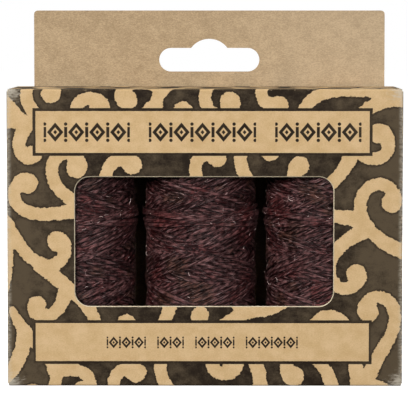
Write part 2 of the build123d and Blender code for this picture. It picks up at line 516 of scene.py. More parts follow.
# ---------------------------------------------------------------- folded board
class Plane:
    """Where a flat part of the blank lies once folded: blank point, its place, and directions."""

    def __init__(self, blank, place, across, up, inward):
        self.blank = np.array(blank, float)
        self.place = np.array(place, float)
        self.across = np.array(across, float)
        self.up = np.array(up, float)
        self.inward = np.array(inward, float)

    def fold(self, u, v, depth, creases):
        """Places of blank points at a depth under the outer face, rounded at the creases.

        A crease is (axis, coordinate, side): the blank's axis across it, where it is, and +1 or
        -1 for the side of it that lies on this plane.
        """
        flat = [np.array(u, float), np.array(v, float)]
        depth = np.array(depth, float) * np.ones_like(flat[0])
        for axis, at, side in creases:
            away = (flat[axis] - at) * side
            bent = away < CREASE_RADIUS
            turn = np.radians(45) * (1 - np.clip(away, 0, CREASE_RADIUS) / CREASE_RADIUS)
            radius = CREASE_RADIUS - depth
            from_edge = CREASE_RADIUS - radius * np.sin(turn)
            flat[axis] = np.where(bent, at + side * from_edge, flat[axis])
            depth = np.where(bent, CREASE_RADIUS - radius * np.cos(turn), depth)
        return (
            self.place
            + (flat[0] - self.blank[0])[:, None] * self.across
            + (flat[1] - self.blank[1])[:, None] * self.up
            + depth[:, None] * self.inward
        )


X, Y, Z = np.eye(3)
ENDS = (("top", HEIGHT, 1), ("bottom", 0.0, -1))  # name, level, and which way is out
SIDES = (("right", 1), ("left", -1))
PLANES = {
    "front": Plane((0, 0), (0, FRONT, 0), X, Z, Y),
    "right": Plane((SIDE, 0), (SIDE, FRONT, 0), Y, Z, -X),
    "back": Plane((SIDE + DEPTH, 0), (SIDE, BACK, 0), -X, Z, -Y),
    "left": Plane((-SIDE, 0), (-SIDE, FRONT, 0), -Y, Z, X),
    "glue": Plane((3 * SIDE + DEPTH, 0), (-SIDE + BOARD, BACK, 0), -Y, Z, X),
}
for end, level, way in ENDS:
    lid_end = level + way * LID_LENGTH
    PLANES[f"{end}_lid"] = Plane((0, level), (0, FRONT, level), X, way * Y, -way * Z)
    PLANES[f"{end}_tuck"] = Plane((0, lid_end), (0, FRONT + LID_LENGTH, level), X, -Z, -Y)
    dust_v = level - way * DUST_LEVEL
    for side, sign in SIDES:
        PLANES[f"{end}_{side}_dust"] = Plane(
            (sign * SIDE, dust_v), (sign * SIDE, FRONT, dust_v), sign * Y, -sign * way * X, -way * Z
        )


def rounded(corners, spacing=FINE):
    """A closed outline through corners (u, v, radius, bevel), points a spacing apart.

    A corner's bevel is that of the side that leaves it. Returns the points and each side's bevel.
    """
    points, bevels = [], []
    places = np.array([corner[:2] for corner in corners])
    out = unit(np.roll(places, -1, 0) - places)
    into = np.roll(out, 1, 0)
    half_turn = np.arccos(np.clip((into * out).sum(1), -1, 1)) / 2
    reach = np.tan(half_turn) * [radius for *_, radius, _ in corners]
    for k, (*_, radius, bevel) in enumerate(corners):
        started = len(points)
        if radius:
            first = places[k] - into[k] * reach[k]
            steps = max(3, int(radius * 2 * half_turn[k] / spacing) + 1)
            side = np.sign(into[k, 0] * out[k, 1] - into[k, 1] * out[k, 0])
            middle = first + side * radius * np.array([-into[k, 1], into[k, 0]])
            start = math.atan2(*(first - middle)[::-1])
            for angle in start + side * 2 * half_turn[k] * np.arange(steps + 1) / steps:
                points.append(middle + radius * np.array([math.cos(angle), math.sin(angle)]))
        else:
            points.append(places[k])
        after = (k + 1) % len(corners)
        last = places[k] + out[k] * reach[k]
        stop = places[after] - out[k] * reach[after]
        steps = int(np.linalg.norm(stop - last) / spacing)
        for part in np.arange(1, steps) / max(steps, 1):
            points.append(last + (stop - last) * part)
        bevels += [bevel] * (len(points) - started)
    return np.array(points), np.array(bevels)


def inset(points, bevels, way):
    """Each side of an outline moved in by its bevel."""
    along = np.roll(points, -1, 0) - points
    along /= np.linalg.norm(along, axis=1)[:, None]
    normal = np.stack([-along[:, 1], along[:, 0]], 1) * way
    before, bevel_before = np.roll(normal, 1, 0), np.roll(bevels, 1)
    bend = before[:, 0] * normal[:, 1] - before[:, 1] * normal[:, 0]
    straight = np.abs(bend) < 0.05
    bend = np.where(straight, 1, bend)
    move = np.stack([
        (bevel_before * normal[:, 1] - bevels * before[:, 1]) / bend,
        (bevels * before[:, 0] - bevel_before * normal[:, 0]) / bend,
    ], 1)
    even = (normal + before) / 2 * np.maximum(bevels, bevel_before)[:, None]
    return points + np.where(straight[:, None], even, move)


def within(points, loops):
    """Which points lie inside the first loop and outside the others."""
    inside = np.zeros(len(points), bool)
    x, y = points.T
    for loop in loops:
        for (x0, y0), (x1, y1) in zip(loop, np.roll(loop, -1, 0)):
            crosses = (y0 > y) != (y1 > y)
            with np.errstate(divide="ignore", invalid="ignore"):
                inside ^= crosses & (x < (x1 - x0) * (y - y0) / (y1 - y0) + x0)
    return inside


def to_outline(points, loops):
    """Distance from each point to the nearest outline point."""
    rim = np.concatenate(loops)
    nearest = np.full(len(points), 99.0)
    for part in range(0, len(rim), 200):
        gap = points[:, None, :] - rim[None, part:part + 200]
        nearest = np.minimum(nearest, np.sqrt((gap**2).sum(-1)).min(1))
    return nearest


def fill(loops, spacing, bends=()):
    """Points and triangles over the area inside the first loop and outside the others.

    bends are the (axis, coordinate) lines that the board is rounded along.
    """
    low, high = loops[0].min(0), loops[0].max(0)
    counts = np.maximum(((high - low) / spacing).astype(int), 1)
    axes = [np.linspace(low[k], high[k], counts[k] + 1)[1:-1] for k in (0, 1)]
    grid = np.stack(np.meshgrid(*axes, indexing="ij"), -1).reshape(-1, 2)
    near = np.full(len(grid), 0.45 * spacing)
    for axis, at in bends:
        away = np.abs(grid[:, axis] - at)
        grid, near = grid[away > CREASE_RADIUS], near[away > CREASE_RADIUS]
        for step in BEND_ROWS:
            for side in ((-1, 1) if step else (1,)):
                row = np.empty((len(axes[1 - axis]), 2))
                row[:, axis] = at + side * step * CREASE_RADIUS
                row[:, 1 - axis] = axes[1 - axis]
                grid = np.concatenate([grid, row])
                near = np.concatenate([near, np.full(len(row), 0.05)])
    if len(grid):
        keep = within(grid, loops)
        keep[keep] = to_outline(grid[keep], loops) > near[keep]
        grid = grid[keep]
    points = np.concatenate([*loops, grid])
    edges, start = [], 0
    for loop in loops:
        count = len(loop)
        edges += [(start + k, start + (k + 1) % count) for k in range(count)]
        start += count
    made, _, triangles, *_ = delaunay_2d_cdt(
        [Vector(p) for p in points], edges, [], 0, 1e-7, False
    )
    made = np.array([tuple(p) for p in made])
    triangles = np.array(triangles)
    return made, triangles[within(made[triangles].mean(1), loops)]


def new_mesh(name, points, faces, materials, slots=0):
    """A mesh object from points in millimetres. slots says which material each face has."""
    mesh = bpy.data.meshes.new(name)
    mesh.from_pydata((np.asarray(points) * MM).tolist(), [], [list(map(int, f)) for f in faces])
    for material in materials:
        mesh.materials.append(material)
    mesh.polygons.foreach_set("material_index", np.int32(np.broadcast_to(slots, len(faces))))
    mesh.polygons.foreach_set("use_smooth", np.ones(len(faces), bool))
    mesh.update()
    mesh.set_sharp_from_angle(angle=SHARP)
    return new_object(name, mesh)


def keep_attribute(item, name, kind, values, domain="POINT"):
    """Stores values on a mesh, for its material to read."""
    field = "value" if kind == "FLOAT" else "vector"
    layer = item.data.attributes.new(name, kind, domain)
    layer.data.foreach_set(field, np.ascontiguousarray(values, np.float32).ravel())


def board(name, outline, place, holes=(), bends=()):
    """A closed solid of board. outline and holes are corner lists. place(u, v, depth) folds it."""
    loops, bevels = zip(*[rounded(corners) for corners in (outline, *holes)])
    ways = []
    for k, loop in enumerate(loops):
        area = (loop[:, 0] * np.roll(loop[:, 1], -1) - loop[:, 1] * np.roll(loop[:, 0], -1)).sum()
        ways.append(1 if (area > 0) == (k == 0) else -1)
    lips = [inset(loop, bevel, way) for loop, bevel, way in zip(loops, bevels, ways)]
    outer_points, outer_faces = fill(lips, FINE, bends)
    inner_points, inner_faces = fill(list(loops), COARSE)

    # Outer face, then the inner face, wound the other way
    inner_start = len(outer_points)
    total = inner_start + len(inner_points)
    flat = [outer_points, inner_points]
    depth = [np.zeros(inner_start), np.full(len(inner_points), BOARD)]
    faces = [outer_faces, inner_faces[:, ::-1] + inner_start]
    slots = [np.full(len(outer_faces), OUTER), np.full(len(inner_faces), INNER)]

    # Rim of each loop: the lip, then the cut wall
    start = 0
    for loop, bevel, way in zip(loops, bevels, ways):
        count = len(loop)
        here = np.arange(count)
        after = (here + 1) % count
        lip = start + here
        wall = total + here
        floor = inner_start + start + here
        flat.append(loop)
        depth.append(np.maximum(np.maximum(bevel, np.roll(bevel, 1)), LEAST_LIP))
        for near, far in ((lip, wall), (wall, floor)):
            quad = np.stack([near, far, far[after], near[after]], 1)
            faces.append(quad if way > 0 else quad[:, ::-1])
            slots.append(np.full(count, RIM))
        total += count
        start += count

    flat = np.concatenate(flat)
    depth = np.concatenate(depth)
    faces = [face for group in faces for face in group]
    points = place(flat[:, 0], flat[:, 1], depth)
    item = new_mesh(name, points, faces, BOARD_MATERIALS, np.concatenate(slots))
    keep_attribute(item, "blank", "FLOAT_VECTOR", np.column_stack([flat, depth]))
    keep_attribute(item, "scroll", "FLOAT", scroll_distance(flat[:, 0], flat[:, 1]))
    return item


def flat_panel(name, body, node, plane, outline, creases=(), holes=()):
    """A board that lies on one plane, rides on a body and takes a CAD node's place."""
    def place(u, v, depth):
        return PLANES[plane].fold(u, v, depth, creases)

    item = board(name, outline, place, holes, [(axis, at) for axis, at, _ in creases])
    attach(item, body)
    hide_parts(node)


def crease_strip(name, planes, ends, at, way):
    """The strip of board that bends between two planes at a lid's or flap's crease, as they lie at
    rest.

    ends are the u of its two ends, at is the crease's v, and way is +1 if the first plane lies
    below it on the blank. planes are the two planes that it bends between.
    """
    def place(u, v, depth):
        first = PLANES[planes[0]].fold(u, v, depth, [(1, at, -way)])
        second = PLANES[planes[1]].fold(u, v, depth, [(1, at, way)])
        return np.where((v * way >= at * way)[:, None], second, first)

    low, high = sorted(ends)
    outline = rect(low, at - CREASE_HALF, high, at + CREASE_HALF, (0, CUT_BEVEL, 0, CUT_BEVEL))
    item = board(name, outline, place, bends=[(1, at)])
    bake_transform(item)


def rect(u0, v0, u1, v1, bevels):
    """A rectangle's corners: bevels of its low v, high u, high v and low u sides."""
    places = ((u0, v0), (u1, v0), (u1, v1), (u0, v1))
    return [(u, v, 0, bevel) for (u, v), bevel in zip(places, bevels)]


# Front panel, with the window
window_x, window_z, window_w, window_h, window_r = WINDOW
window = [
    (window_x + sx * window_w / 2, window_z + sz * window_h / 2, window_r, WINDOW_BEVEL)
    for sx, sz in ((-1, -1), (1, -1), (1, 1), (-1, 1))
]
front_creases = [(0, SIDE, -1), (0, -SIDE, 1)]
front_outline = rect(-SIDE, CREASE_HALF, SIDE, HEIGHT - CREASE_HALF, (0, 0, 0, 0))
flat_panel("front_board", "carton", "front_panel", "front", front_outline, front_creases, [window])

# Side panels. Beside a dust flap's crease, their ends stand a little further out.
crease_low, free_low = DUST_LEVEL + CREASE_HALF, DUST_LEVEL + END_PLAY
low_end = (
    (0, free_low), (DUST_FRONT, free_low), (DUST_FRONT, crease_low),
    (DUST_BACK, crease_low), (DUST_BACK, free_low), (DEPTH, free_low),
)
high_end = [(back, HEIGHT - v) for back, v in reversed(low_end)]
for side, sign in SIDES:
    outline = [(sign * (SIDE + back), v, 0, 0) for back, v in (*low_end, *high_end)]
    creases = [(0, sign * SIDE, sign), (0, sign * (SIDE + DEPTH), -sign)]
    flat_panel(f"{side}_board", "carton", f"{side}_side_panel", side, outline, creases)

# Back panel, tab and euro slot. u runs from right to left, seen from the front.
back_u0, back_u1 = SIDE + DEPTH, 3 * SIDE + DEPTH


def back_u(x):
    return back_u0 + SIDE - x


tab_x, tab_w, tab_r = TAB
slot_x, slot_z, slot_w, slot_h = SLOT
tab_u0, tab_u1 = back_u(tab_x + tab_w / 2), back_u(tab_x - tab_w / 2)
back_outline = [
    (back_u0, 0.0, 0, CUT_BEVEL),
    (back_u1, 0.0, 0, 0),
    (back_u1, HEIGHT, 0, CUT_BEVEL),
    (tab_u1, HEIGHT, 0, CUT_BEVEL),
    (tab_u1, TAB_TOP, tab_r, CUT_BEVEL),
    (tab_u0, TAB_TOP, tab_r, CUT_BEVEL),
    (tab_u0, HEIGHT, 0, CUT_BEVEL),
    (back_u0, HEIGHT, 0, 0),
]
slot_r = slot_h / 2
dome_w, dome_h = DOME
dome_r = (dome_w**2 / 4 + dome_h**2) / (2 * dome_h)
dome_half = math.degrees(math.asin(dome_w / 2 / dome_r))


def arc(u, v, radius, first, last):
    """Points on an arc, as corners of an outline."""
    steps = max(4, round(radius * abs(math.radians(last - first)) / FINE))
    angles = np.radians(np.linspace(first, last, steps + 1))
    return [(u + radius * math.cos(a), v + radius * math.sin(a), 0, CUT_BEVEL) for a in angles]


slot_u = back_u(slot_x)
slot_hole = [
    *arc(slot_u + slot_w / 2 - slot_r, slot_z, slot_r, -90, 90),
    *arc(slot_u, slot_z + slot_r + dome_h - dome_r, dome_r, 90 - dome_half, 90 + dome_half),
    *arc(slot_u - slot_w / 2 + slot_r, slot_z, slot_r, 90, 270),
]
back_creases = [(0, back_u0, 1), (0, back_u1, -1)]
flat_panel("back_board", "carton", "back_panel", "back", back_outline, back_creases, [slot_hole])

# Glue flap, inside the left side
glue_u0 = back_u1 + BOARD
glue_u1 = back_u1 + BACK - glue_low[1]
glue_outline = [
    (glue_u0, glue_low[2], 0, CUT_BEVEL),
    (glue_u1, glue_low[2] + GLUE_TAPER, 0, CUT_BEVEL),
    (glue_u1, glue_high[2] - GLUE_TAPER, 0, CUT_BEVEL),
    (glue_u0, glue_high[2], 0, CUT_BEVEL),
]
flat_panel("glue_flap_board", "carton", "glue_flap", "glue", glue_outline)

# Both ends: lid, tuck flap, dust flaps and the creases between them
for end, level, way in ENDS:
    near_v, far_v = sorted(level + way * v for v in (CREASE_HALF, LID_LENGTH - CREASE_HALF))
    outline = rect(-LID_SIDE, near_v, LID_SIDE, far_v, (0, CUT_BEVEL, 0, CUT_BEVEL))
    lid, tuck = f"{end}_lid", f"{end}_tuck"
    flat_panel(f"{lid}_board", lid, lid, lid, outline)
    crease_strip(
        f"{lid}_crease", ("front", lid), (-LID_SIDE, LID_SIDE), level, way,
    )

    root_v = level + way * (LID_LENGTH + CREASE_HALF)
    tip_v = level + way * (LID_LENGTH + TUCK_TIP)
    outline = [
        (-TUCK_SIDE, root_v, 0, 0), (TUCK_SIDE, root_v, 0, CUT_BEVEL),
        (TUCK_SIDE, tip_v, TUCK_RADIUS, CUT_BEVEL), (-TUCK_SIDE, tip_v, TUCK_RADIUS, CUT_BEVEL),
    ]
    flat_panel(f"{tuck}_board", tuck, f"{tuck}_flap", tuck, outline)
    crease_strip(
        f"{tuck}_crease", (lid, tuck), (-TUCK_SIDE, TUCK_SIDE), level + way * LID_LENGTH, way,
    )

    dust_v = level - way * DUST_LEVEL
    for side, sign in SIDES:
        flap = f"{end}_{side}_dust"
        near_v = dust_v + way * CREASE_HALF
        far_v = dust_v + way * DUST_TIP
        near_front = DUST_FRONT + DUST_TAPER * CREASE_HALF
        far_front = DUST_FRONT + DUST_TAPER * DUST_TIP
        outline = [
            (sign * (SIDE + near_front), near_v, 0, CUT_BEVEL),
            (sign * (SIDE + far_front), far_v, DUST_RADIUS, CUT_BEVEL),
            (sign * (SIDE + DUST_BACK), far_v, DUST_RADIUS, CUT_BEVEL),
            (sign * (SIDE + DUST_BACK), near_v, 0, 0),
        ]
        flat_panel(f"{flap}_board", flap, f"{flap}_flap", flap, outline)
        hinge = (sign * (SIDE + DUST_FRONT), sign * (SIDE + DUST_BACK))
        crease_strip(
            f"{flap}_crease", (side, flap), hinge, dust_v, way,
        )


# ---------------------------------------------------------------- spools
THREAD_LENGTH = 18288.0                 # 20 yards
THREAD_WIDE = 0.68                      # half width of a strand, flattened by its winding tension
THREAD_THICK = 0.37                     # half thickness
STACK = 0.55                            # how much one strand on another adds to the radius
STRAND_STEPS = 52                       # points in a turn
STRAND_SIDES = 8
TURNS_TO_REPEAT = 9.045                 # turns in two trips up and down: each lies beside the last
MEAN_RADIUS = 16.2                      # of the winding's turns, to count them by
BELT_RADIUS = 17.6                      # of the belt's, for the same
END_GAP = 0.9                           # thread's turning point to the end of its node
LEAST_GAP = 0.85                        # and the closest that it strays
SHOULDER = 1.6                          # the winding's ends slope in over this much
THREAD_GAP = 0.1                        # innermost wraps to the tube
BELT_PROUD = 0.8                        # the belt's radius over the winding's
TUBE_WALL = 2.0                         # thickness of a paper tube
SOFT_EDGE = 0.25                        # radius of its edges
BELT_Z = 51.9
BELT_TURNS = 5
BELT_JOIN = 1.2                         # turns in which the winding leads into the belt
BELT_LANES = (1.0, 2.6, -3.0, 1.2, -1.6, 0.2)  # how far over BELT_Z each wrap starts
BELT_LIFTS = (0.6, 0.9, 0.9, 0.75, 0.8, 1.0)  # how proud each wrap stands
BELT_KNOT = -84                         # degrees round the spool where the belt's wraps draw together
THREAD_SEED = 21                        # of the left spool; the next ones add 1 and 2
FIBRE_SEED = 40                         # the same, for its patches and loose fibres
FIBRES = 1100                           # most loose fibres on a spool
PATCH_HEIGHT = 3.8                      # of a patch of colour
MAP_ENDS = 40                           # cells at each end that its median leaves out
SLEEVE = (0.05, 0.62)                   # radii of the sleeve under the thread, over the tube's
SLEEVE_END = 1.0                        # sleeve's end to the end of the thread's node
SLEEVE_SLOPE = 0.3
TUBE_ROWS = 28                          # of points up a tube's wall
TUBE_SIDES = 120
SLEEVE_SIDES = 96
SPOOL_STEP = 19000                      # added along each next spool's thread, so that all differ
MAP_TURN = 208                          # cells of the winding's radius map in a turn
MAP_CELL = 0.25                         # and along the axis


def wander(rng, turns, every, amount, fine):
    """A random line, with a new value each so many turns and straight between them."""
    count = int(turns / every) + 2
    return np.interp(fine, np.arange(count) * every, rng.normal(0, amount, count))


def wind(seed, low, high, core_radius):
    """Winds one thread on a tube, turn by turn, each wrap lying on those under it.

    Returns its z and radius at every step, and a map of the whole winding's outer radius.
    """
    rng = np.random.default_rng(seed)
    travel = high - low - 2 * END_GAP
    trip = TURNS_TO_REPEAT / 4
    mean_turn = math.hypot(2 * math.pi * MEAN_RADIUS, travel / trip)
    turns = round((THREAD_LENGTH - BELT_TURNS * 2 * math.pi * BELT_RADIUS) / mean_turn)
    fine = np.arange(turns * MAP_TURN) / MAP_TURN
    sweep = 1 - np.abs(1 - (fine / trip) % 2)
    near = np.minimum(sweep, 1 - sweep)
    ease = 0.045                        # part of a trip in which the thread turns back
    eased = np.where(near < ease, near**2 / (2 * ease) + ease / 2, near)
    sweep = np.where(sweep < 0.5, eased, 1 - eased)
    sweep = (sweep - ease / 2) / (1 - ease)

    # Every wrap strays a little, and every trip starts a little off its line
    stray = wander(rng, turns, 0.5, 0.13, fine) + wander(rng, turns, 0.125, 0.07, fine)
    kick = rng.normal(0, 0.12, int(turns / trip) + 2)[(fine / trip).astype(int)]
    z = low + END_GAP + sweep * travel + (stray + kick) * np.clip(near * 12, 0, 1)

    # The last turns make the belt: its wraps lie apart, and draw together at the knot
    belt_fine = np.arange(BELT_TURNS * MAP_TURN) / MAP_TURN
    shift = np.clip((belt_fine % 1 - 0.06) / 0.38, 0, 1)
    shift = np.floor(belt_fine) + smooth(shift)
    lane = np.interp(shift, np.arange(BELT_TURNS + 1), BELT_LANES)
    from_knot = (belt_fine - BELT_KNOT / 360 + 0.5) % 1 - 0.5
    knot = np.exp(-((from_knot / 0.10) ** 2))
    belt = BELT_Z - 0.2 - 0.9 * knot + lane * (1 - 0.68 * knot)
    belt += wander(rng, BELT_TURNS, 0.2, 0.26, belt_fine)
    belt = z[-1] + (belt - z[-1]) * smooth(np.clip(belt_fine / BELT_JOIN, 0, 1))
    z = np.clip(np.concatenate([z, belt]), low + LEAST_GAP, high - LEAST_GAP)

    # Lay the turns down in order. A taut strand bridges the dips between those under it.
    cells = int((high - low) / MAP_CELL) + 1
    height = np.full((MAP_TURN, cells), core_radius, np.float32)
    columns = np.arange(MAP_TURN)[:, None]
    foot = np.arange(-2, 3)
    hump = np.sqrt(np.clip(1 - (foot * MAP_CELL / THREAD_WIDE) ** 2, 0, 1)) * STACK / 2
    radius = np.empty(len(z))
    stiff = 5                           # cells to each side over which a taut strand evens out
    for turn in range(len(z) // MAP_TURN):
        here = slice(turn * MAP_TURN, (turn + 1) * MAP_TURN)
        row = np.clip(((z[here] - low) / MAP_CELL).round().astype(int), 2, cells - 3)[:, None]
        under = (height[columns, row + foot] - (hump[2] - hump)).max(1)
        pulled = under
        for measure in (np.max, np.mean):
            wide = np.pad(pulled, stiff, mode="wrap")
            pulled = measure([wide[k:k + MAP_TURN] for k in range(2 * stiff + 1)], axis=0)
        radius[here] = 0.6 * under + 0.4 * pulled + STACK / 2
        laid = radius[here][:, None] + hump
        height[columns, row + foot] = np.maximum(height[columns, row + foot], laid)
    return z, radius, height


def pressed(radius, z, low, high, core_radius, belt_radius, typical):
    """Wound radii pressed down into the outline of the CAD node."""
    body_radius = belt_radius - BELT_PROUD
    from_end = np.minimum(z - low, high - z)
    limit = body_radius - np.clip(SHOULDER - from_end, 0, SHOULDER)
    part = (radius - core_radius) / (typical - core_radius)
    body = core_radius + (limit - core_radius) * part / (1 + part**4) ** 0.25

    # The belt stands proud: most at its middle height, and where strands are stacked
    proud = np.clip(1 - ((z - BELT_Z) / 3.4) ** 2, 0, 1) ** 0.6
    over = 1 - np.exp(-np.clip(radius - typical + 0.35, 0, None) / 0.85)
    last_turns = np.arange(len(z)) / MAP_TURN - (len(z) / MAP_TURN - BELT_TURNS)
    lift = np.interp(last_turns, np.arange(BELT_TURNS + 1), BELT_LIFTS)
    belt = limit + BELT_PROUD * proud * over * lift
    return body + (belt - body) * np.clip(last_turns / BELT_JOIN, 0, 1)


def blotches(rng, angle, z):
    """Smooth random patches over a spool, about 4 mm across, from 0 to 1."""
    count = 26                          # patches round the spool, and up it
    grid = rng.random((count, count))
    a = angle / (2 * math.pi) % 1 * count
    b = np.clip(z / PATCH_HEIGHT, 0, count - 2)
    i, j = a.astype(int) % count, b.astype(int)
    fa, fb = smooth(a % 1), smooth(b % 1)
    near = grid[i, j] * (1 - fb) + grid[i, j + 1] * fb
    far = grid[(i + 1) % count, j] * (1 - fb) + grid[(i + 1) % count, j + 1] * fb
    return near * (1 - fa) + far * fa


def tubes(centre, out, across, thick, wide, sides):
    """Closed tubes about centre lines, given as (tube, ring, xyz). Returns points, quads and caps.

    thick and wide are a ring's half sizes along out, away from the spool's axis, and across.
    """
    turn = 2 * math.pi * np.arange(sides)[:, None] / sides
    flattened = wide * np.sin(turn) * across[..., None, :] - thick * np.cos(turn) * out[..., None, :]
    points = centre[..., None, :] + flattened
    count, rings = centre.shape[:2]
    start = np.arange(count)[:, None] * rings * sides
    ring = (start + np.arange(rings - 1) * sides).reshape(-1, 1)
    side = np.arange(sides)
    after = (side + 1) % sides
    quads = np.stack([ring + side, ring + after, ring + sides + after, ring + sides + side], -1)
    caps = np.concatenate([start + side[::-1], start + (rings - 1) * sides + side])
    return points.reshape(-1, 3), quads.reshape(-1, 4), caps


def strand_mesh(angle, z, radius):
    """Tube along the thread, about the spool's axis.

    Returns its points, quads and caps, each quad corner's (along, round) place, and the length.
    """
    centre = np.column_stack([radius * np.cos(angle), radius * np.sin(angle), z])
    tangent = unit(np.gradient(centre, axis=0))
    out = np.column_stack([np.cos(angle), np.sin(angle), np.zeros(len(z))])
    out = unit(out - (out * tangent).sum(1)[:, None] * tangent)
    across = np.cross(tangent, out)
    along = np.concatenate([[0], np.cumsum(np.linalg.norm(np.diff(centre, axis=0), axis=1))])
    plump = 1 + 0.09 * np.sin(along / 3.1) + 0.05 * np.sin(along / 1.07 + 2)
    plump = (plump + 0.05 * np.sin(along / 0.71))[:, None, None]
    points, quads, caps = tubes(
        centre[None], out, across, THREAD_THICK * plump, THREAD_WIDE * plump, STRAND_SIDES
    )
    before, after = along[:-1], along[1:]
    lengths = np.stack([before, before, after, after], -1)[:, None]
    rounds = (np.arange(STRAND_SIDES)[:, None] + (0, 1, 1, 0)) / STRAND_SIDES
    corner = np.stack(np.broadcast_arrays(lengths, rounds), -1).reshape(-1, 2)
    return points, quads, caps, corner, along[-1]


def hair_mesh(rng, count, angle, z, radius):
    """Short loose fibres lying on the outer wraps, each one a closed bent tube."""
    # More of them lie on the belt, and most of all near its knot
    pick = rng.integers(2, len(z) - 2, count * 12)
    weight = 1 + 0.6 * np.exp(-((z[pick] - BELT_Z) / 3.0) ** 2)
    from_knot = (angle[pick] - math.radians(BELT_KNOT) + math.pi) % (2 * math.pi) - math.pi
    weight += 8 * np.exp(-((z[pick] - BELT_Z) / 1.8) ** 2 - ((from_knot - 0.35) / 0.28) ** 2)
    keep = (radius[pick] > np.quantile(radius, 0.55)) & (rng.random(len(pick)) * 9 < weight)
    pick = pick[keep][:count]
    count = len(pick)
    rise = (z[pick + 1] - z[pick]) / (radius[pick] * (angle[pick + 1] - angle[pick]))
    heading = np.arctan(rise) + rng.normal(0, 0.45, count) + math.pi * rng.integers(0, 2, count)
    long = rng.gamma(1.8, 0.5, count) + 0.3
    curl = rng.normal(0, 0.9, count)
    rings, sides = 6, 4
    steps = np.linspace(0, 1, rings)[None]
    way = heading[:, None] + curl[:, None] * steps
    u = np.cumsum(np.cos(way), 1) * long[:, None] / rings
    v = np.cumsum(np.sin(way), 1) * long[:, None] / rings
    lift = rng.uniform(0.02, 0.30, count)[:, None]
    lift = lift * np.sin(math.pi * steps * rng.uniform(0.5, 1.0, count)[:, None])
    r = radius[pick][:, None] + THREAD_THICK - 0.02 + lift
    turned = angle[pick][:, None] + u / r
    centre = np.stack([r * np.cos(turned), r * np.sin(turned), z[pick][:, None] + v], -1)
    out = np.stack([np.cos(turned), np.sin(turned), np.zeros_like(turned)], -1)
    across = np.cross(unit(np.gradient(centre, axis=1)), out)
    bright = rng.random(count) ** 3
    thick = ((0.030 + 0.045 * bright)[:, None] * (1 - 0.5 * steps))[..., None, None]
    points, quads, caps = tubes(centre, out, across, thick, thick, sides)
    return points, np.concatenate([quads, caps]), np.repeat(bright, rings * sides)


def ring_mesh(profile, segments):
    """A closed outline of (radius, z) points turned about the spool's axis."""
    count = len(profile)
    turn = 2 * math.pi * np.arange(segments)[:, None] / segments
    radius, z = profile.T
    points = np.stack([
        radius * np.cos(turn), radius * np.sin(turn), np.broadcast_to(z, (segments, count))
    ], -1).reshape(-1, 3)
    here = np.arange(segments)[:, None]
    after = (here + 1) % segments
    step = np.arange(count)[None]
    up = (step + 1) % count
    here, after = here * count, after * count
    return points, np.stack([here + step, after + step, after + up, here + up], -1).reshape(-1, 4)


STRIP = 34.0                            # height of one turn of a tube's paper strip
PAPER_PLY = 0.42                        # its plies' thickness


def core_paper():
    """Grey-brown tube wound from paper strip, with a spiral seam and plies at its ends."""
    n = Nodes("core_paper")
    place = n.attribute("tube")
    along, height, radius = n.split(place)
    fibre = n.noise(place, (1.4, 1.4, 1.4), 4.0, 0.65)
    cloud = n.noise(place, (0.15, 0.15, 0.15), 2.0, 0.5)
    colour = n.mix(n.ramp((fibre + cloud) * 0.5, 0.35, 0.65), srgb(146, 124, 98), srgb(186, 164, 134))
    lap = (height + along * 0.72) % STRIP
    seam = n.ramp(abs(lap - STRIP / 2), 0.35, 0.1)
    colour = n.mix(seam * 0.7, colour, srgb(96, 78, 58))
    plies = (radius * (2 * math.pi / PAPER_PLY)).math("SINE")
    depth = fibre * 0.6 + plies * 0.2 - seam
    colour = n.mix(n.ramp(plies, 0.2, 1.0, 0.0, 0.3), colour, srgb(120, 100, 76))
    return n.finish(Base_Color=colour, Roughness=0.85, Normal=n.bump(depth, 0.0001, 0.6))


PLIES = 4
PLY_LAY = 13.0                          # length in which a ply goes once round its thread
FIBRE_LAY = 28.0                        # and the fibres in it


